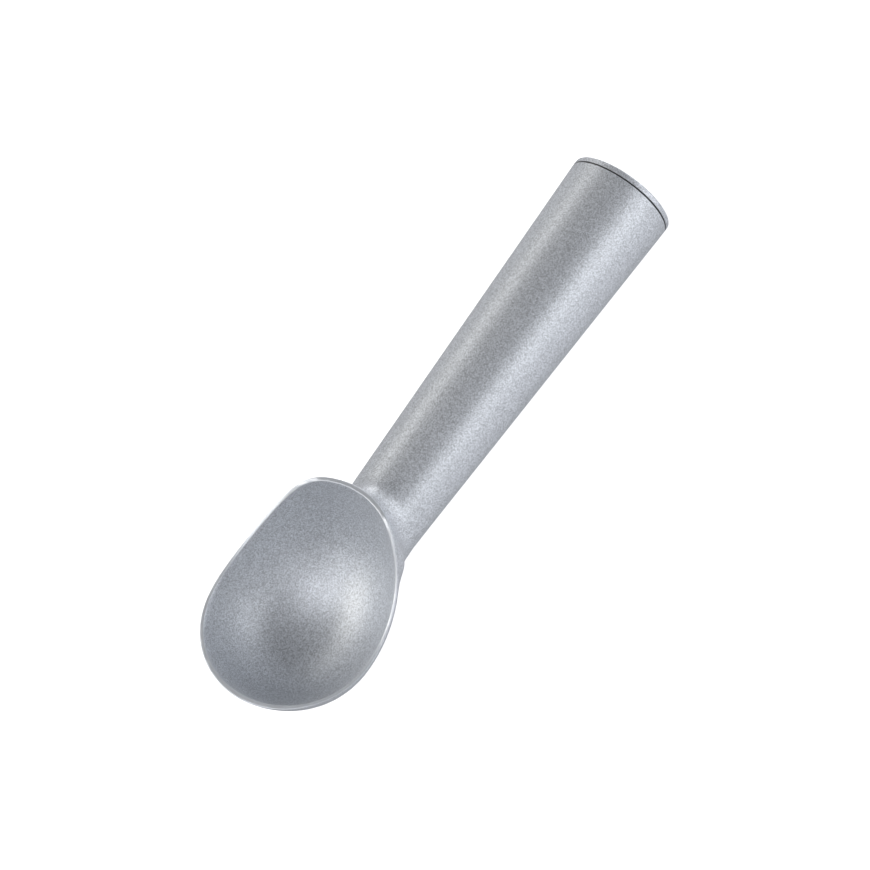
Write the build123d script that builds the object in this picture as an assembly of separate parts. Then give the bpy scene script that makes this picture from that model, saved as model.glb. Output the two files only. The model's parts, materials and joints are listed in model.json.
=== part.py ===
"""Leverless ice cream scoop: cast bowl and hollow handle, liquid filling, seal ring and screw plug.

The scoop lies on its back: +X runs from the end plug to the bowl's tip, +Z up out of the bowl,
Y = 0 is the plane of symmetry, and the origin is under the middle of the length, on the table.
"""
from build123d import *
from math import cos, pi, sin
import os

# Handle, outside
overall_length = 185.0         # end plug's face to bowl tip
handle_end_radius = 16.3       # handle at the plug, also the height of its axis above the table
handle_neck_radius = 12.4      # handle where it runs into the bowl
neck_from_tip = 72.0           # that place, measured back from the bowl's tip
neck_blend = 9.0               # hollow fillet between neck and bowl

# Bowl
bowl_from_tip = 26.7           # widest place of the bowl, measured back from its tip
bowl_half_width = 28.8         # side walls, where they stand upright
bowl_front_length = 28.9       # widest place to the front wall, upright
bowl_back_length = 37.5        # widest place to the back wall, upright
bowl_belly_share = 0.809       # part of the half width over which the bottom lies before it bends up
bowl_turn = 23.0               # height by which the wall has turned up
wall_runout = 5.7              # upright walls run this far above the rim's crest before the rim is cut
side_wall = 0.25               # metal at the top of the uncut side walls
front_wall = 0.8               # metal at the top of the uncut front wall
back_wall = 1.4                # metal at the top of the uncut back wall
belly_wall = 5.5               # how far the dish's bottom stays short of the bowl's belly
turn_wall = 8.5                # how much sooner the dish's wall turns up
floor_thickness = 3.4          # under the deepest point

# Rim line seen from the side, with heights above the table
rim_tip_height = 24.6
rim_side_height = 23.1         # at the bowl's widest place
rim_shoulder_back = 25.0       # behind the widest place
rim_shoulder_drop = 7.2        # below the crest
rim_crest_back = 33.5          # behind the widest place
rim_crest_height = 40.3
rim_back_drop = 0.7            # below the crest, behind the back wall
rim_overrun = 6.0              # rim line carried past the bowl at both ends
rim_rounding = 0.3             # edges of the rim's narrow face

# Chamber, plug and seal
handle_wall = 3.6              # around the liquid chamber
plug_thread_radius = 12.6
plug_thread_length = 9.0       # inside the handle
plug_thread_clearance = 0.06
plug_flange = 1.8
plug_end_wall = 3.4            # flange and the metal behind it
plug_wall = 2.4                # around the plug's hollow
plug_edge_rounding = 0.7
thread_relief = 2.0            # bore beyond the plug's end
seal_thickness = 0.5
seal_inset = 0.15              # the seal's edge lies just under the handle's skin
seal_clearance = 0.05
spanner_pitch_radius = 8.0
spanner_hole_radius = 1.5
spanner_hole_depth = 1.2

# Filling
fill_level = 8.0               # liquid surface above the handle's axis
fill_clearance = 0.05

tip_x = overall_length / 2
end_x = -overall_length / 2
axis_z = handle_end_radius
seal_x = end_x + plug_flange
seat_x = seal_x + seal_thickness
plug_inner_x = seat_x + plug_thread_length
chamber_x = plug_inner_x + thread_relief
neck_x = tip_x - neck_from_tip
bowl_x = tip_x - bowl_from_tip
chamber_end_x = bowl_x - bowl_back_length
bowl_top = rim_crest_height + wall_runout
bowl_belly_reach = bowl_belly_share * bowl_half_width
rim_shoulder_height = rim_crest_height - rim_shoulder_drop
rim_back_height = rim_crest_height - rim_back_drop
handle_taper = (handle_end_radius - handle_neck_radius) / (neck_x - seat_x)


def handle_radius(x):
    """Outer radius of the tapered handle at a place along X."""
    return handle_end_radius - handle_taper * (x - seat_x)


def turned(outline):
    """Solid turned about the handle's axis from a closed (x, radius) outline."""
    return Pos(0, 0, axis_z) * revolve(make_face(outline), Axis.X)


def dome(half_width, front_length, back_length, belly, turn, bottom):
    """Round-bottomed form with upright walls, drawn out towards the back."""
    wall = Bezier((0, bottom), (belly, bottom), (half_width, bottom + turn), (half_width, bowl_top))
    outline = wall + Polyline((half_width, bowl_top), (0, bowl_top), (0, bottom))
    half = revolve(Plane.YZ * make_face(outline), Axis.Z, revolution_arc=180)
    front = scale(mirror(half, Plane.YZ), by=(front_length / half_width, 1, 1))
    back = scale(half, by=(back_length / half_width, 1, 1))
    return Pos(bowl_x, 0, 0) * (front + back)


def above_rim():
    """Everything above the rim line, right across the bowl."""
    front = tip_x + rim_overrun
    back = bowl_x - bowl_back_length - rim_overrun
    top = bowl_top + rim_overrun
    rim_line = Spline(
        (front, rim_tip_height),
        (bowl_x, rim_side_height),
        (bowl_x - rim_shoulder_back, rim_shoulder_height),
        (bowl_x - rim_crest_back, rim_crest_height),
        (back, rim_back_height),
        tangents=[(-1, 0), (-1, 0)],
    )
    lid = Polyline((back, rim_back_height), (back, top), (front, top), (front, rim_tip_height))
    half_span = bowl_half_width + rim_overrun
    return extrude(Plane.XZ.offset(-half_span) * make_face(rim_line + lid), 2 * half_span)


def chamber(clearance):
    """The handle's hollow from its threaded mouth's end to its round end, less a clearance all round."""
    start = chamber_x + clearance
    start_radius = handle_radius(chamber_x) - handle_wall - clearance
    end_radius = handle_radius(chamber_end_x) - handle_wall - clearance
    round_x = chamber_end_x - clearance - end_radius
    halfway = (round_x + end_radius * sin(pi / 4), end_radius * cos(pi / 4))
    cone = Polyline((round_x + end_radius, 0), (start, 0), (start, start_radius), (round_x, end_radius))
    return turned(cone + ThreePointArc((round_x, end_radius), halfway, (round_x + end_radius, 0)))


def rod(x_from, x_to, radius):
    """Round bar along the handle's axis."""
    return turned(Polyline((x_from, 0), (x_from, radius), (x_to, radius), (x_to, 0), close=True))


def make_scoop_body():
    """Bowl, neck and hollow handle: one casting."""
    root_x = bowl_x - bowl_back_length / 2
    seat = (seat_x, handle_end_radius)
    root = (root_x, handle_radius(root_x))
    skin = Polyline((seat_x, 0), seat, root, (root_x, 0), close=True)
    bowl = dome(bowl_half_width, bowl_front_length, bowl_back_length, bowl_belly_reach, bowl_turn, 0)
    dish = dome(
        bowl_half_width - side_wall,
        bowl_front_length - front_wall,
        bowl_back_length - back_wall,
        bowl_belly_reach - belly_wall,
        bowl_turn - turn_wall,
        floor_thickness,
    )
    body = bowl + turned(skin)
    handle_skin = body.faces().filter_by(GeomType.CONE).first
    body = fillet(handle_skin.edges().filter_by(GeomType.BSPLINE), neck_blend)
    body = body - dish - above_rim()
    rim_face = body.faces().filter_by(GeomType.EXTRUSION)
    body = fillet(rim_face.edges(), rim_rounding)
    body -= rod(seat_x, chamber_x, plug_thread_radius + plug_thread_clearance)
    return body - chamber(0)


def make_heat_liquid():
    """Filling of the chamber, level on top, with air above it."""
    surface_z = axis_z + fill_level
    return split(chamber(fill_clearance), Plane.XY.offset(surface_z), keep=Keep.BOTTOM)


def make_seal_ring():
    """Flat ring squeezed between the plug's flange and the handle's end."""
    ring = rod(seal_x, seat_x, handle_end_radius - seal_inset)
    return ring - rod(seal_x, seat_x, plug_thread_radius + seal_clearance)


def make_end_plug():
    """Screw plug: flange, threaded skirt and two blind holes for a pin spanner."""
    flange = rod(end_x, seal_x, handle_end_radius)
    flange = fillet(flange.edges().sort_by(Axis.X).first, plug_edge_rounding)
    skirt = rod(seal_x, plug_inner_x, plug_thread_radius)
    hollow = rod(end_x + plug_end_wall, plug_inner_x, plug_thread_radius - plug_wall)
    plug = flange + skirt - hollow
    spanner_hole = rod(end_x, end_x + spanner_hole_depth, spanner_hole_radius)
    for side in (-1, 1):
        plug -= Pos(0, side * spanner_pitch_radius, 0) * spanner_hole
    return plug


parts = {
    "scoop_body": make_scoop_body(),
    "heat_liquid": make_heat_liquid(),
    "seal_ring": make_seal_ring(),
    "end_plug": make_end_plug(),
}
os.makedirs("parts", exist_ok=True)
for name, part in parts.items():
    part.label = name
    export_step(part, f"parts/{name}.step")
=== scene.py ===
"""Ice cream scoop: cast bowl and handle, liquid filling, seal ring and screw plug, on a pale floor."""
import json
from math import cos, exp, pi, radians, sin, tau

import bmesh
import bpy
from bpy.props import FloatProperty, FloatVectorProperty, IntProperty, PointerProperty
from mathutils import Matrix, Vector


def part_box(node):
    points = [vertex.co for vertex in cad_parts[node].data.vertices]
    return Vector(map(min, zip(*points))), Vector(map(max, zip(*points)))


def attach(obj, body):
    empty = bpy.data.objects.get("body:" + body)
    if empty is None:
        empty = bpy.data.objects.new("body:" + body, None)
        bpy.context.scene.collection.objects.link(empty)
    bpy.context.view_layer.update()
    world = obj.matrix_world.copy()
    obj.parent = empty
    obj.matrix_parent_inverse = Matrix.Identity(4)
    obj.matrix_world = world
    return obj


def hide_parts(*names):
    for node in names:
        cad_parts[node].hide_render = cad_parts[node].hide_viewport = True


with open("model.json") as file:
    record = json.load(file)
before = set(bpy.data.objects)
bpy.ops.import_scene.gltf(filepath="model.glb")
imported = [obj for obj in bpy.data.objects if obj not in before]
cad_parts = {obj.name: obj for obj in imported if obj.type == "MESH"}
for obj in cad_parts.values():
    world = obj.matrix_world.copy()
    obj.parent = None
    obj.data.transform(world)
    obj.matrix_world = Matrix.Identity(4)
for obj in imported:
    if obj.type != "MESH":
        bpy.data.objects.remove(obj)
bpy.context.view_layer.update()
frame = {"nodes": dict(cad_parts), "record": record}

bl_info = {
    "name": "Ice cream scoop",
    "version": (1, 0, 0),
    "blender": (4, 5, 0),
    "location": "View3D > Sidebar > Scoop",
    "description": "Dresses the packed ice cream scoop and sets its stage",
    "category": "Object",
}

mm = 0.001
merge_distance = 1e-6
plain_edge = 0.3 * mm
hollow_rounding = 0.6 * mm
thread_overlap = 0.05 * mm
floor_reach = 2.5
floor_drop = 0.1 * mm
lamp_distance = 1.2
slot_colour = {entry["slot"]: entry["base_color"] for entry in frame["record"]["materials"]}
plug_low, plug_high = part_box("end_plug")
seal_low, seal_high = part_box("seal_ring")
axis_z = (plug_low.z + plug_high.z) / 2
flange_radius = (plug_high.z - plug_low.z) / 2
# The rim seen from the side: (place along the scoop, height), in mm
rim_line = (
    (28, 40.12), (30, 40.45), (31, 40.51), (32, 40.38), (33, 40.0), (34, 39.44), (35, 38.61), (36.5, 37.25),
    (38, 35.82), (40, 33.82), (42, 32.1), (44, 30.53), (46, 29.17), (48, 28.02), (50, 27.05), (53, 25.8),
    (56, 24.82), (59, 24.06), (62, 23.51), (66, 23.09), (70, 22.96), (75, 23.14), (80, 23.54), (86, 24.06),
    (93, 24.49),
)


def colour_property(name, description, colour):
    """A colour that a user can change."""
    return FloatVectorProperty(
        name=name, description=description, subtype="COLOR", size=3, min=0, max=1, default=colour)


def length_property(name, description, size):
    """A length in metres that a user can change."""
    return FloatProperty(
        name=name, description=description, subtype="DISTANCE", unit="LENGTH", min=0, default=size,
        precision=5)


def share_property(name, description, share):
    """A number from 0 to 1 that a user can change."""
    return FloatProperty(
        name=name, description=description, subtype="FACTOR", min=0, max=1, default=share)


class CastingSettings(bpy.types.PropertyGroup):
    """Finish of the cast bowl and handle."""

    colour: colour_property("Metal", "Colour of the satin casting", (0.63, 0.654, 0.69))
    roughness: share_property("Roughness", "How dull the satin casting is", 0.45)
    metal: share_property("Metal share", "How much of the skin mirrors like bare metal", 0.65)
    flake_size: length_property("Flake size", "Size of the glittering flakes in the skin", 0.24 * mm)
    flake_contrast: share_property("Flake contrast", "How far the flakes differ in brightness", 0.45)
    grain_depth: length_property("Grain depth", "Height of the skin's fine grain", 0.006 * mm)
    crease: FloatProperty(
        name="Crease", description="Edges sharper than this stay sharp", subtype="ANGLE",
        default=radians(40))
    flank_fullness: length_property("Flank fullness", "How far the neck's flanks stand out", 3 * mm)
    flank_place: length_property("Flank place", "Fullest place of the flanks along the scoop", 35.5 * mm)
    flank_length: length_property("Flank length", "How far along the scoop the fullness reaches", 4.5 * mm)
    flank_height: length_property("Flank height", "Fullest place of the flanks above the table", 25 * mm)
    flank_rise: length_property("Flank rise", "How far up and down the fullness reaches", 10 * mm)


class FillingSettings(bpy.types.PropertyGroup):
    """Finish of the liquid in the handle."""

    colour: colour_property("Liquid", "Colour of the liquid", slot_colour["heat_liquid"])


class SealSettings(bpy.types.PropertyGroup):
    """Shape and finish of the seal ring."""

    colour: colour_property("Rubber", "Colour of the seal", slot_colour["seal_rubber"])
    rounding: length_property("Rounding", "Rounding of the seal's edges", 0.2 * mm)


class PlugSettings(bpy.types.PropertyGroup):
    """Shape and finish of the screw plug."""

    colour: colour_property("Metal", "Colour of the turned plug", slot_colour["plug_aluminium"])
    roughness: share_property("Roughness", "How dull the turned plug is", 0.34)
    thread_radius: length_property("Thread radius", "Outside of the thread", 12.6 * mm)
    thread_depth: length_property("Thread depth", "Height of the thread's ridge", 0.75 * mm)
    thread_pitch: length_property("Thread pitch", "Travel in one turn", 1.5 * mm)
    collar: length_property("Collar", "Plain neck under the seal", 1.0 * mm)
    edge_rounding: length_property("Edge rounding", "Rounding of the flange's outer edge", 0.7 * mm)
    flange: length_property("Flange", "Thickness of the flange", 1.8 * mm)
    end_wall: length_property("End wall", "Flange and the metal behind it", 3.4 * mm)
    wall: length_property("Wall", "Metal around the plug's hollow", 2.4 * mm)
    spanner_reach: length_property("Spanner reach", "Axis to the middle of a spanner hole", 8 * mm)
    spanner_radius: length_property("Spanner hole", "Radius of a spanner hole", 1.5 * mm)
    spanner_depth: length_property("Spanner depth", "Depth of a spanner hole", 1.2 * mm)
    segments: IntProperty(
        name="Segments", description="Faces around the plug", min=24, max=256, default=128)


class StageSettings(bpy.types.PropertyGroup):
    """Floor, lights and camera."""

    floor: colour_property("Floor", "Colour of the floor", (0.9, 0.9, 0.9))
    floor_glow: FloatProperty(
        name="Floor glow", description="Light from the table under the floor", min=0, default=0.7)
    surround: FloatProperty(
        name="Surround", description="Brightness of the room", min=0, default=0.17)
    table: FloatProperty(
        name="Table", description="Brightness of the table that the metal mirrors", min=0, default=0.95)
    key_light: FloatProperty(
        name="Key light", description="Brightness of the soft box left of the bowl", min=0, default=2.9)
    left_light: FloatProperty(
        name="Left light", description="Brightness of the soft box left of the handle", min=0, default=1.1)
    tip_light: FloatProperty(
        name="Tip light", description="Brightness of the soft box before the bowl's tip", min=0, default=1)
    top_light: FloatProperty(
        name="Top light", description="Brightness of the soft box over the bowl's tip", min=0, default=1.8)
    side_light: FloatProperty(
        name="Side light", description="Brightness of the soft box beside the bowl", min=0, default=0.75)
    handle_light: FloatProperty(
        name="Handle light", description="Brightness of the soft box right of the handle", min=0,
        default=1.6)
    end_light: FloatProperty(
        name="End light", description="Brightness of the soft box behind the plug", min=0, default=1.4)
    neck_light: FloatProperty(
        name="Neck light", description="Brightness of the small box behind the neck", min=0, default=6)
    tilt: FloatProperty(
        name="Tilt", description="Lean of the view towards the bowl's tip", subtype="ANGLE",
        default=radians(14.211))
    roll: FloatProperty(
        name="Roll", description="Lean of the view towards the scoop's side", subtype="ANGLE",
        default=radians(24.019))
    turn: FloatProperty(
        name="Turn", description="Turn of the scoop in the picture", subtype="ANGLE",
        default=radians(126.6255))
    distance: length_property("Distance", "Camera to the scoop", 0.9)
    picture_width: length_property("Picture width", "What the picture spans at the scoop", 0.24604)
    shift_right: length_property("Right", "Middle of the scoop right of the picture's middle", 13.580 * mm)
    shift_up: length_property("Up", "Middle of the scoop above the picture's middle", 15.195 * mm)


class Value:
    """A shader socket that takes part in Python arithmetic."""

    def __init__(self, finish, socket):
        self.finish = finish
        self.socket = socket

    def math(self, operation, first, second):
        return self.finish.node("Math", {"operation": operation}, {0: first, 1: second})

    def __add__(self, other):
        return self.math("ADD", self, other)

    def __sub__(self, other):
        return self.math("SUBTRACT", self, other)

    def __rsub__(self, other):
        return self.math("SUBTRACT", other, self)

    def __mul__(self, other):
        return self.math("MULTIPLY", self, other)

    __radd__ = __add__
    __rmul__ = __mul__


class Finish:
    """One material, or the room's light, built node by node."""

    def __init__(self, name, library="materials"):
        self.material = getattr(bpy.data, library).new(name)
        self.material.use_nodes = True
        self.tree = self.material.node_tree
        self.tree.nodes.clear()

    def node(self, kind, settings=None, sockets=None, output=0):
        """Adds a node: its settings come first, then the values or links of its sockets."""
        made = self.tree.nodes.new("ShaderNode" + kind)
        for key, setting in (settings or {}).items():
            setattr(made, key, setting)
        for key, value in (sockets or {}).items():
            if isinstance(value, Value):
                self.tree.links.new(value.socket, made.inputs[key])
            else:
                made.inputs[key].default_value = value
        return made if output is None else Value(self, made.outputs[output])

    def mix(self, factor, first, second):
        """Blends two colours."""
        return self.node("Mix", {"data_type": "RGBA"}, {0: factor, 6: first, 7: second}, 2)

    def noise(self, place, scale, detail=2.0, roughness=0.5):
        """Noise from 0 to 1 at a place."""
        sockets = {"Vector": place, "Scale": scale, "Detail": detail, "Roughness": roughness}
        return self.node("TexNoise", None, sockets)

    def done(self, sockets, shader="BsdfPrincipled", output="OutputMaterial"):
        """Ends in a shader with these sockets."""
        self.node(output, None, {"Surface": self.node(shader, None, sockets)}, None)
        return self.material


def shade(colour, factor):
    """A colour made lighter or darker."""
    return [min(1, channel * factor) for channel in colour] + [1]


def satin_flakes(finish, place, settings):
    """Tone from 0 to 1 and fine grain of a silvery coat."""
    flakes = finish.node(
        "TexVoronoi", {"feature": "F1"}, {"Vector": place, "Scale": 1 / settings.flake_size}, "Color")
    flake = finish.node("SeparateColor", None, {"Color": flakes}, "Red")
    grain = finish.noise(place, 0.7 / settings.flake_size, 3, 0.6)
    cloud = finish.noise(place, 38, 3, 0.55)
    return 0.75 * flake + 0.15 * grain + 0.1 * cloud, grain


def satin_colour(finish, tone, settings):
    """The coat's colour at a tone."""
    dark = shade(settings.colour, 1 - settings.flake_contrast)
    light = shade(settings.colour, 1 + settings.flake_contrast)
    return finish.mix(tone, dark, light)


def satin_casting(settings):
    """Silvery satin coat with fine glittering flakes, worn smooth along the rim and given a painted
    highlight there.
    """
    finish = Finish("Satin cast aluminium")
    place = finish.node("TexCoord", output="Object")
    tone, grain = satin_flakes(finish, place, settings)
    wear_and_highlight = finish.node("Attribute", {"attribute_name": "rim_wear_and_highlight"}, output="Fac")
    # Along the rim the flakes fade to one even tone, a little lighter than the coat's mean: worn metal and
    # a painted highlight
    colour = satin_colour(finish, tone + wear_and_highlight * (0.6 - tone), settings)
    roughness = settings.roughness + 0.08 * (tone - 0.5) - 0.06 * wear_and_highlight
    bump = finish.node(
        "Bump", None, {"Strength": 0.5, "Distance": settings.grain_depth, "Height": grain})
    return finish.done({
        "Base Color": colour, "Metallic": settings.metal, "Roughness": roughness, "Normal": bump})


def turned_plug(settings, coat):
    """The casting's satin coat on the flange, bare metal with fine turned rings on the rest."""
    finish = Finish("Turned plug aluminium")
    place = finish.node("TexCoord", output="Object")
    centred = finish.node(
        "VectorMath", {"operation": "SUBTRACT"}, {0: place, 1: (0, 0, axis_z)})
    off_axis = finish.node(
        "VectorMath", {"operation": "MULTIPLY"}, {0: centred, 1: (0, 1, 1)})
    radius = finish.node("VectorMath", {"operation": "LENGTH"}, {0: off_axis}, "Value")
    ring_place = finish.node("CombineXYZ", None, {"X": radius})
    rings = finish.noise(ring_place, 5200, 2, 0.6)
    along = finish.node("SeparateXYZ", None, {"Vector": place}, "X")
    under = plug_low.x + settings.flange
    bare = finish.node("MapRange", None, {
        "Value": along, "From Min": under - 0.03 * mm, "From Max": under + 0.03 * mm})
    tone, grain = satin_flakes(finish, place, coat)
    turned = finish.mix(
        0.5 * rings + 0.5 * grain, shade(settings.colour, 0.88), shade(settings.colour, 1.12))
    colour = finish.mix(bare, satin_colour(finish, tone, coat), turned)
    metallic = coat.metal + bare * (1 - coat.metal)
    roughness = coat.roughness + 0.08 * (tone - 0.5) + bare * (settings.roughness - coat.roughness)
    bump = finish.node(
        "Bump", None, {"Strength": 0.5, "Distance": 0.006 * mm, "Height": 0.5 * rings + 0.5 * grain})
    return finish.done({
        "Base Color": colour, "Metallic": metallic, "Roughness": roughness, "Normal": bump})


def seal_rubber(settings):
    """Matte black rubber, a little dusty."""
    finish = Finish("Seal rubber")
    place = finish.node("TexCoord", output="Object")
    dust = finish.noise(place, 900, 3, 0.6)
    colour = finish.mix(dust, shade(settings.colour, 0.7), shade(settings.colour, 1.9))
    bump = finish.node("Bump", None, {"Strength": 0.4, "Distance": 0.01 * mm, "Height": dust})
    return finish.done({"Base Color": colour, "Roughness": 0.62 + 0.2 * dust, "Normal": bump})


def clear_filling(settings):
    """Faintly cloudy liquid."""
    finish = Finish("Heat liquid")
    place = finish.node("TexCoord", output="Object")
    cloud = finish.noise(place, 70, 2)
    colour = finish.mix(cloud, shade(settings.colour, 0.9), shade(settings.colour, 1.06))
    return finish.done({"Base Color": colour, "Roughness": 0.06 + 0.08 * cloud, "IOR": 1.35})


def new_object(name, mesh, material):
    """A piece at the origin with one finish."""
    mesh.materials.clear()
    mesh.materials.append(material)
    piece = bpy.data.objects.new(name, mesh)
    bpy.context.scene.collection.objects.link(piece)
    return piece


def finish_piece(piece, body, node):
    """Hangs a piece on its body and puts it in its node's stead."""
    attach(piece, body)
    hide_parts(node)


def plain_mesh(piece, name):
    """The piece's mesh with its modifiers worked in; the piece itself goes."""
    bpy.context.view_layer.update()
    graph = bpy.context.evaluated_depsgraph_get()
    mesh = bpy.data.meshes.new_from_object(piece.evaluated_get(graph), depsgraph=graph)
    mesh.name = name
    old = piece.data
    bpy.data.objects.remove(piece)
    bpy.data.meshes.remove(old)
    return mesh


def lathe(outline, segments):
    """Closed form turned about the handle's axis from (x, radius) points, the first and last on it."""
    form = bmesh.new()
    corners = [form.verts.new((x, 0, axis_z + radius)) for x, radius in outline]
    edges = [form.edges.new(pair) for pair in zip(corners, corners[1:])]
    bmesh.ops.spin(
        form, geom=corners + edges, cent=(0, 0, axis_z), axis=(1, 0, 0), angle=tau, steps=segments,
        use_merge=True)
    bmesh.ops.remove_doubles(form, verts=form.verts, dist=1e-7)
    bmesh.ops.recalc_face_normals(form, faces=form.faces)
    return form


def arc(centre_x, centre_radius, radius, start, end, steps):
    """Points of a rounded corner in a turned outline."""
    turns = [start + (end - start) * step / steps for step in range(steps + 1)]
    return [(centre_x + radius * cos(turn), centre_radius + radius * sin(turn)) for turn in turns]


class NodeTree:
    """A geometry node tree with named inputs."""

    def __init__(self, name, inputs):
        self.tree = bpy.data.node_groups.new(name, "GeometryNodeTree")
        self.tree.interface.new_socket("Geometry", in_out="OUTPUT", socket_type="NodeSocketGeometry")
        self.sockets = {}
        for label, kind, value in inputs:
            socket = self.tree.interface.new_socket(label, in_out="INPUT", socket_type="NodeSocket" + kind)
            self.sockets[label] = (socket.identifier, value)
        self.entry = self.tree.nodes.new("NodeGroupInput")
        self.exit = self.tree.nodes.new("NodeGroupOutput")

    def add(self, kind, settings=None, sockets=None, output=0):
        """Adds a node and gives back one of its outputs."""
        made = self.tree.nodes.new(kind)
        for key, setting in (settings or {}).items():
            setattr(made, key, setting)
        for key, value in (sockets or {}).items():
            if isinstance(value, bpy.types.NodeSocket):
                self.tree.links.new(value, made.inputs[key])
            else:
                made.inputs[key].default_value = value
        return made.outputs[output]

    def given(self, label):
        """One of the tree's named inputs."""
        return self.entry.outputs[label]

    def mesh(self, name):
        """Runs the tree and gives back its plain mesh."""
        carrier = bpy.data.objects.new(name, bpy.data.meshes.new(name))
        bpy.context.scene.collection.objects.link(carrier)
        modifier = carrier.modifiers.new(name, "NODES")
        modifier.node_group = self.tree
        for identifier, value in self.sockets.values():
            modifier[identifier] = value
        return plain_mesh(carrier, name)

    def end(self, geometry):
        """Real geometry with its material is what leaves the tree."""
        real = self.add("GeometryNodeRealizeInstances", None, {"Geometry": geometry})
        coated = self.add(
            "GeometryNodeSetMaterial", None, {"Geometry": real, "Material": self.given("Material")})
        self.tree.links.new(coated, self.exit.inputs["Geometry"])


def thread_mesh(settings, start, length, material):
    """Helical ridge on the plug's skirt."""
    root = settings.thread_radius - settings.thread_depth
    tree = NodeTree("Plug thread", [
        ("Root radius", "Float", root - thread_overlap),
        ("Length", "Float", length),
        ("Turns", "Float", length / settings.thread_pitch),
        ("Ridge foot", "Float", 0.86 * settings.thread_pitch),
        ("Ridge crest", "Float", 0.16 * settings.thread_pitch),
        ("Ridge height", "Float", settings.thread_depth + thread_overlap),
        ("Place", "Vector", (start, 0, axis_z)),
        ("Material", "Material", material),
    ])
    helix = tree.add("GeometryNodeCurveSpiral", None, {
        "Resolution": 72, "Rotations": tree.given("Turns"), "Start Radius": tree.given("Root radius"),
        "End Radius": tree.given("Root radius"), "Height": tree.given("Length")}, "Curve")
    helix = tree.add("GeometryNodeSetCurveNormal", {"mode": "Z_UP"}, {"Curve": helix})
    along = tree.add("GeometryNodeSplineParameter", output="Factor")
    runout = tree.add("ShaderNodeMapRange", {"interpolation_type": "SMOOTHSTEP"}, {
        "Value": along, "From Min": 0.0, "From Max": 0.1, "To Min": 0.05, "To Max": 1.0})
    ending = tree.add("ShaderNodeMapRange", {"interpolation_type": "SMOOTHSTEP"}, {
        "Value": along, "From Min": 0.9, "From Max": 1.0, "To Min": 1.0, "To Max": 0.05})
    size = tree.add("ShaderNodeMath", {"operation": "MULTIPLY"}, {0: runout, 1: ending})
    ridge = tree.add("GeometryNodeCurvePrimitiveQuadrilateral", {"mode": "TRAPEZOID"}, {
        "Height": tree.given("Ridge height"), "Bottom Width": tree.given("Ridge foot"),
        "Top Width": tree.given("Ridge crest"), "Offset": 0.0})
    half = tree.add("ShaderNodeMath", {"operation": "MULTIPLY"}, {0: tree.given("Ridge height"), 1: 0.5})
    lift = tree.add("ShaderNodeCombineXYZ", None, {"Y": half})
    ridge = tree.add("GeometryNodeTransform", None, {"Geometry": ridge, "Translation": lift})
    ridge = tree.add("GeometryNodeTransform", None, {"Geometry": ridge, "Rotation": (0, 0, pi / 2)})
    swept = tree.add("GeometryNodeCurveToMesh", None, {
        "Curve": helix, "Profile Curve": ridge, "Scale": size, "Fill Caps": True})
    laid = tree.add("GeometryNodeTransform", None, {
        "Geometry": swept, "Translation": tree.given("Place"), "Rotation": (0, pi / 2, 0)})
    tree.end(laid)
    return tree.mesh("plug_thread")


def seal_mesh(settings, material):
    """Flat ring with soft edges, swept around the handle's axis."""
    inner, outer = settings["inner"], settings["outer"]
    thickness, rounding = settings["thickness"], settings["rounding"]
    tree = NodeTree("Seal ring", [
        ("Mean radius", "Float", (inner + outer) / 2),
        ("Width", "Float", outer - inner),
        ("Thickness", "Float", thickness),
        ("Rounding", "Float", rounding),
        ("Place", "Vector", settings["place"]),
        ("Material", "Material", material),
    ])
    circle = tree.add(
        "GeometryNodeCurvePrimitiveCircle", None, {"Resolution": 160, "Radius": tree.given("Mean radius")})
    circle = tree.add("GeometryNodeSetCurveNormal", {"mode": "Z_UP"}, {"Curve": circle})
    section = tree.add("GeometryNodeCurvePrimitiveQuadrilateral", {"mode": "RECTANGLE"}, {
        "Width": tree.given("Width"), "Height": tree.given("Thickness")})
    section = tree.add("GeometryNodeFilletCurve", {"mode": "POLY"}, {
        "Curve": section, "Count": 4, "Radius": tree.given("Rounding"), "Limit Radius": True})
    swept = tree.add("GeometryNodeCurveToMesh", None, {"Curve": circle, "Profile Curve": section})
    laid = tree.add("GeometryNodeTransform", None, {
        "Geometry": swept, "Translation": tree.given("Place"), "Rotation": (0, pi / 2, 0)})
    tree.end(laid)
    return tree.mesh("seal_ring_soft")


def ease(value):
    """Soft step from 0 to 1."""
    value = min(1, max(0, value))
    return value ** 2 * (3 - 2 * value)


def rim_height(x):
    """Height of the rim at a place along the scoop."""
    place = min(x / mm, rim_line[-1][0])
    (start, low), (end, high) = next(
        pair for pair in zip(rim_line, rim_line[1:]) if place <= pair[1][0])
    return mm * (low + (high - low) * (place - start) / (end - start))


def rim_wear_and_highlight(place):
    """Rim wear and painted highlight: 1 on the rim's narrow face, fading to 0 over its rounded edges."""
    if place.x < rim_line[0][0] * mm:
        return 0
    return 1 - ease((rim_height(place.x) - place.z - 0.1 * mm) / (0.2 * mm))


def flank_swelling(settings, vertex):
    """How far the neck's flank stands out sideways at a point of the casting's outside."""
    along = (vertex.co.x - settings.flank_place) / settings.flank_length
    upright = (vertex.co.z - settings.flank_height) / settings.flank_rise
    facing = vertex.normal.y if vertex.co.y > 0 else -vertex.normal.y
    under_rim = rim_height(vertex.co.x) - vertex.co.z
    fade = ease(facing / 0.35) * ease((under_rim - 0.5 * mm) / (8 * mm))
    return settings.flank_fullness * exp(-along ** 2 - upright ** 2) * fade


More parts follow.
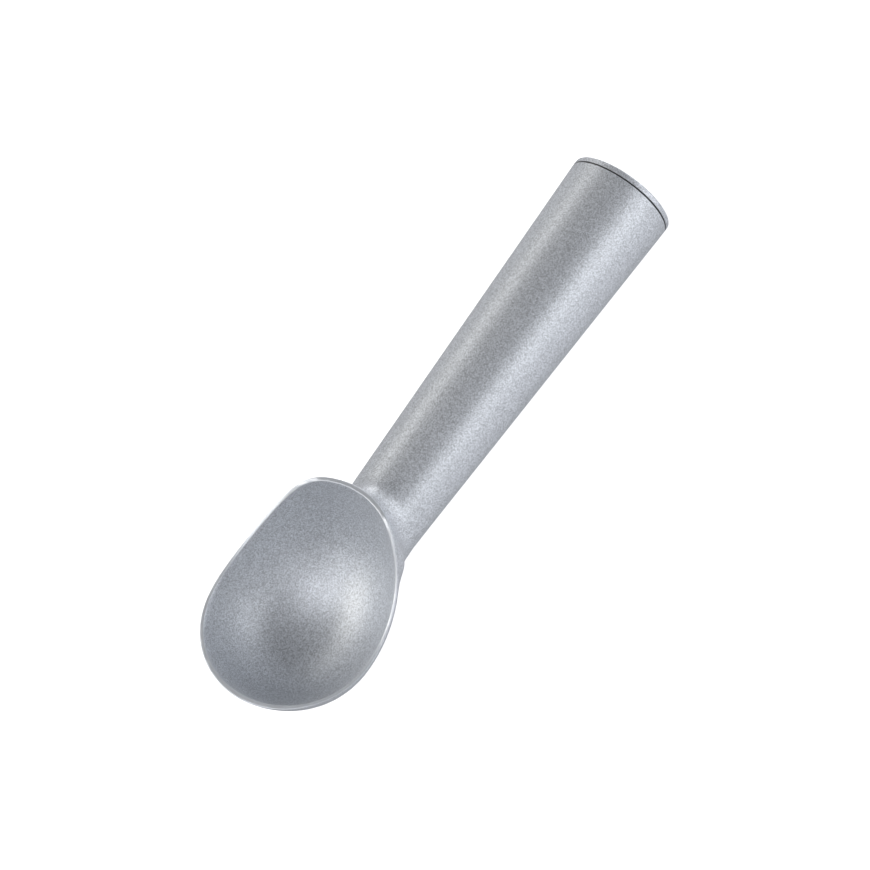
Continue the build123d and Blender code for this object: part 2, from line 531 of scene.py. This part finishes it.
class SCOOP_OT_casting(bpy.types.Operator):
    """Bowl, neck and handle with their satin skin"""

    bl_idname = "scoop.casting"
    bl_label = "Casting"

    def execute(self, context):
        settings = context.scene.scoop_casting
        source = frame["nodes"]["scoop_body"]
        form = bmesh.new()
        form.from_mesh(source.data)
        bmesh.ops.remove_doubles(form, verts=form.verts, dist=merge_distance)
        mesh = bpy.data.meshes.new("scoop_casting")
        form.to_mesh(mesh)
        form.free()
        mesh.shade_smooth()
        mesh.set_sharp_from_angle(angle=settings.crease)
        own_normals = [Vector(corner.vector) for corner in mesh.corner_normals]
        material = satin_casting(settings)
        blank = new_object("scoop_casting_blank", mesh, material)
        skin = blank.modifiers.new("Skin", "DATA_TRANSFER")
        skin.object = source
        skin.use_loop_data = True
        skin.data_types_loops = {"CUSTOM_NORMAL"}
        skin.loop_mapping = "NEAREST_NORMAL"
        mesh = plain_mesh(blank, "scoop_casting")
        normals = [Vector(corner.vector) for corner in mesh.corner_normals]
        for face in mesh.polygons:
            for corner in face.loop_indices:
                choices = (normals[corner], own_normals[corner], face.normal)
                normals[corner] = next(
                    normal.copy() for normal in choices if normal.dot(face.normal) > 0.8)
        swelling = [flank_swelling(settings, vertex) for vertex in mesh.vertices]
        for vertex, swell in zip(mesh.vertices, swelling):
            vertex.co.y += swell if vertex.co.y > 0 else -swell
        mesh.normals_split_custom_set([(0, 0, 0)] * len(mesh.loops))
        mesh.update()
        swollen = [Vector(vertex.normal) for vertex in mesh.vertices]
        for corner in mesh.loops:
            share = min(1, swelling[corner.vertex_index] / (0.1 * mm))
            normals[corner.index] = normals[corner.index].lerp(swollen[corner.vertex_index], share)
        mesh.normals_split_custom_set([normal.normalized() for normal in normals])
        # Marks the rim for wear and for a painted highlight
        wear_and_highlight = mesh.attributes.new("rim_wear_and_highlight", "FLOAT", "POINT")
        for vertex, wear_and_highlight_value in zip(mesh.vertices, wear_and_highlight.data):
            wear_and_highlight_value.value = rim_wear_and_highlight(vertex.co)
        piece = new_object("scoop_casting", mesh, material)
        finish_piece(piece, "casting", "scoop_body")
        return {"FINISHED"}


class SCOOP_OT_filling(bpy.types.Operator):
    """Liquid that warms the handle"""

    bl_idname = "scoop.filling"
    bl_label = "Filling"

    def execute(self, context):
        mesh = frame["nodes"]["heat_liquid"].data
        mesh.materials.clear()
        mesh.materials.append(clear_filling(context.scene.scoop_filling))
        return {"FINISHED"}


class SCOOP_OT_seal(bpy.types.Operator):
    """Rubber ring between plug and handle"""

    bl_idname = "scoop.seal"
    bl_label = "Seal"

    def execute(self, context):
        settings = context.scene.scoop_seal
        material = seal_rubber(settings)
        shape = {
            "inner": context.scene.scoop_plug.thread_radius + 0.05 * mm,
            "outer": (seal_high.z - seal_low.z) / 2,
            "thickness": seal_high.x - seal_low.x,
            "rounding": settings.rounding,
            "place": ((seal_low.x + seal_high.x) / 2, 0, axis_z),
        }
        mesh = seal_mesh(shape, material)
        mesh.shade_smooth()
        mesh.set_sharp_from_angle(angle=radians(50))
        piece = new_object("seal_ring_soft", mesh, material)
        finish_piece(piece, "seal", "seal_ring")
        return {"FINISHED"}


class SCOOP_OT_plug(bpy.types.Operator):
    """Screw plug with its flange, spanner holes and thread"""

    bl_idname = "scoop.plug"
    bl_label = "Plug"

    def execute(self, context):
        settings = context.scene.scoop_plug
        material = turned_plug(settings, context.scene.scoop_casting)
        end, tail = plug_low.x, plug_high.x
        under = end + settings.flange
        rounding = settings.edge_rounding
        root = settings.thread_radius - settings.thread_depth
        hollow = settings.thread_radius - settings.wall
        collar_end = under + settings.collar
        bevel = 0.05 * mm
        outline = [(end, 0), (end, 0.35 * flange_radius), (end, 0.75 * flange_radius)]
        outline += arc(end + rounding, flange_radius - rounding, rounding, pi, pi / 2, 6)
        outline += [(under - bevel, flange_radius), (under, flange_radius - bevel)]
        outline += [(under, settings.thread_radius), (collar_end, settings.thread_radius)]
        outline += [(collar_end + plain_edge, root), (tail - plain_edge, root), (tail, root - plain_edge)]
        outline += [(tail, hollow + plain_edge), (tail - plain_edge, hollow)]
        bottom = end + settings.end_wall
        outline += arc(bottom + hollow_rounding, hollow - hollow_rounding, hollow_rounding, pi / 2, pi, 4)
        outline += [(bottom, 0)]
        form = lathe(outline, settings.segments)
        mesh = bpy.data.meshes.new("end_plug_turned")
        form.to_mesh(mesh)
        form.free()
        blank = new_object("end_plug_blank", mesh, material)
        cutters = []
        for side in (-1, 1):
            drill = bmesh.new()
            place = Matrix.Translation((end, side * settings.spanner_reach, axis_z))
            bmesh.ops.create_cone(
                drill, cap_ends=True, segments=48, radius1=settings.spanner_radius,
                radius2=settings.spanner_radius, depth=2 * settings.spanner_depth,
                matrix=place @ Matrix.Rotation(pi / 2, 4, "Y"))
            drill_mesh = bpy.data.meshes.new("spanner_drill")
            drill.to_mesh(drill_mesh)
            drill.free()
            cutter = new_object("spanner_drill", drill_mesh, material)
            cutters.append(cutter)
            cut = blank.modifiers.new("Spanner hole", "BOOLEAN")
            cut.operation = "DIFFERENCE"
            cut.solver = "EXACT"
            cut.object = cutter
        mesh = plain_mesh(blank, "end_plug_turned")
        for cutter in cutters:
            drill_mesh = cutter.data
            bpy.data.objects.remove(cutter)
            bpy.data.meshes.remove(drill_mesh)
        thread_start = collar_end + 0.8 * mm
        ridge = thread_mesh(settings, thread_start, tail - 0.9 * mm - thread_start, material)
        form = bmesh.new()
        form.from_mesh(mesh)
        form.from_mesh(ridge)
        form.to_mesh(mesh)
        form.free()
        bpy.data.meshes.remove(ridge)
        mesh.shade_smooth()
        mesh.set_sharp_from_angle(angle=radians(30))
        piece = new_object("end_plug_turned", mesh, material)
        finish_piece(piece, "plug", "end_plug")
        return {"FINISHED"}


class SCOOP_OT_stage(bpy.types.Operator):
    """Pale floor, soft light and the camera"""

    bl_idname = "scoop.stage"
    bl_label = "Stage"

    def execute(self, context):
        settings = context.scene.scoop_stage
        scene = context.scene
        scene.view_settings.view_transform = "Standard"

        form = bmesh.new()
        bmesh.ops.create_grid(form, x_segments=8, y_segments=8, size=floor_reach)
        bmesh.ops.translate(form, verts=form.verts, vec=(0, 0, -floor_drop))
        mesh = bpy.data.meshes.new("floor")
        form.to_mesh(mesh)
        form.free()
        finish = Finish("Pale floor")
        place = finish.node("TexCoord", output="Object")
        cloud = finish.noise(place, 3, 2)
        colour = finish.mix(cloud, shade(settings.floor, 0.99), shade(settings.floor, 1.01))
        material = finish.done({
            "Base Color": colour, "Roughness": 0.8, "Emission Color": (1, 1, 1, 1),
            "Emission Strength": settings.floor_glow})
        floor = new_object("floor", mesh, material)
        floor.visible_diffuse = False
        floor.visible_glossy = False
        floor.visible_shadow = False

        tilt, roll, turn = settings.tilt, settings.roll, settings.turn
        back = Vector((sin(tilt), cos(tilt) * sin(roll), cos(tilt) * cos(roll)))
        along = (Vector((1, 0, 0)) - back.x * back).normalized()
        across = back.cross(along)
        right = cos(turn) * along + sin(turn) * across
        up = -sin(turn) * along + cos(turn) * across
        middle = Vector((-22.5 * mm, 0, axis_z))
        place = middle + settings.distance * back
        place -= settings.shift_right * right + settings.shift_up * up
        lens = bpy.data.cameras.new("camera")
        lens.sensor_width = 36
        lens.lens = lens.sensor_width * settings.distance / settings.picture_width
        camera = bpy.data.objects.new("camera", lens)
        camera.matrix_world = Matrix.Translation(place) @ Matrix((right, up, back)).transposed().to_4x4()
        scene.collection.objects.link(camera)
        scene.camera = camera

        # Soft boxes: name, azimuth, elevation, width, height, brightness, colour
        boxes = (
            ("key_light", -57, 27, 0.9, 0.7, settings.key_light, (1, 0.972, 0.91)),
            ("left_light", -107, 29, 0.6, 0.6, settings.left_light, (1, 0.985, 0.945)),
            ("tip_light", -8, 27, 0.9, 0.65, settings.tip_light, (0.98, 0.985, 1)),
            ("top_light", 5, 58, 1.1, 0.55, settings.top_light, (0.97, 0.975, 1)),
            ("side_light", 52, 29, 0.8, 0.7, settings.side_light, (0.96, 0.965, 1)),
            ("handle_light", 121, 21, 1.4, 0.84, settings.handle_light, (0.97, 0.98, 1)),
            ("end_light", 178, 14, 1.0, 0.45, settings.end_light, (0.97, 0.98, 1)),
            ("neck_light", -143, 7, 0.4, 0.25, settings.neck_light, (1, 0.99, 0.97)),
        )
        for name, azimuth, elevation, width, height, brightness, colour in boxes:
            lamp = bpy.data.lights.new(name, "AREA")
            lamp.shape = "RECTANGLE"
            lamp.size = width
            lamp.size_y = height
            lamp.color = colour
            lamp.energy = brightness * pi * width * height
            light = bpy.data.objects.new(name, lamp)
            turned = Matrix.Rotation(radians(azimuth + 90), 4, "Z") @ Matrix.Rotation(
                radians(90 - elevation), 4, "X")
            away = Matrix.Translation((0, 0, lamp_distance))
            light.matrix_world = Matrix.Translation(middle) @ turned @ away
            scene.collection.objects.link(light)

        room = Finish("Studio", "worlds")
        towards = room.node("TexCoord", output="Generated")
        height = room.node("SeparateXYZ", None, {"Vector": towards}, "Z")
        below = room.node("MapRange", {"interpolation_type": "SMOOTHSTEP"}, {
            "Value": height, "From Min": 0.06, "From Max": -0.14})
        # Where the mirrored table is darker: direction, cosines where the shadow starts and is full, depth
        shadows = (
            ((0.77, 0.64, 0), 0.55, 0.97, 0.7),
            ((0, 0, -1), 0.45, 0.85, 0.5),
            ((0.1, -0.75, -0.65), 0.5, 0.95, 0.5),
        )
        table = settings.table
        for direction, start, full, depth in shadows:
            nearness = room.node(
                "VectorMath", {"operation": "DOT_PRODUCT"}, {0: towards, 1: direction}, "Value")
            shadow = room.node("MapRange", {"interpolation_type": "SMOOTHSTEP"}, {
                "Value": nearness, "From Min": start, "From Max": full})
            table = table * (1 - depth * shadow)
        strength = settings.surround + below * (table - settings.surround)
        scene.world = room.done(
            {"Color": (0.95, 0.96, 1, 1), "Strength": strength}, "Background", "OutputWorld")
        return {"FINISHED"}


class SCOOP_PT_pieces(bpy.types.Panel):
    """Lists the scoop's pieces and its stage"""

    bl_idname = "SCOOP_PT_pieces"
    bl_label = "Ice cream scoop"
    bl_space_type = "VIEW_3D"
    bl_region_type = "UI"
    bl_category = "Scoop"

    def draw(self, context):
        for operator, group in steps:
            column = self.layout.column()
            column.operator(operator.bl_idname)
            settings = getattr(context.scene, group)
            for name in settings.__annotations__:
                column.prop(settings, name)


settings_groups = {
    "scoop_casting": CastingSettings,
    "scoop_filling": FillingSettings,
    "scoop_seal": SealSettings,
    "scoop_plug": PlugSettings,
    "scoop_stage": StageSettings,
}
steps = (
    (SCOOP_OT_casting, "scoop_casting"),
    (SCOOP_OT_filling, "scoop_filling"),
    (SCOOP_OT_seal, "scoop_seal"),
    (SCOOP_OT_plug, "scoop_plug"),
    (SCOOP_OT_stage, "scoop_stage"),
)
classes = (*settings_groups.values(), *(operator for operator, group in steps), SCOOP_PT_pieces)


def register():
    for cls in classes:
        bpy.utils.register_class(cls)
    for name, group in settings_groups.items():
        setattr(bpy.types.Scene, name, PointerProperty(type=group))


def unregister():
    for name in settings_groups:
        delattr(bpy.types.Scene, name)
    for cls in reversed(classes):
        bpy.utils.unregister_class(cls)


def main():
    register()
    bpy.ops.scoop.casting()
    bpy.ops.scoop.filling()
    bpy.ops.scoop.seal()
    bpy.ops.scoop.plug()
    bpy.ops.scoop.stage()
    bpy.context.view_layer.update()


if __name__ == "__main__":
    main()
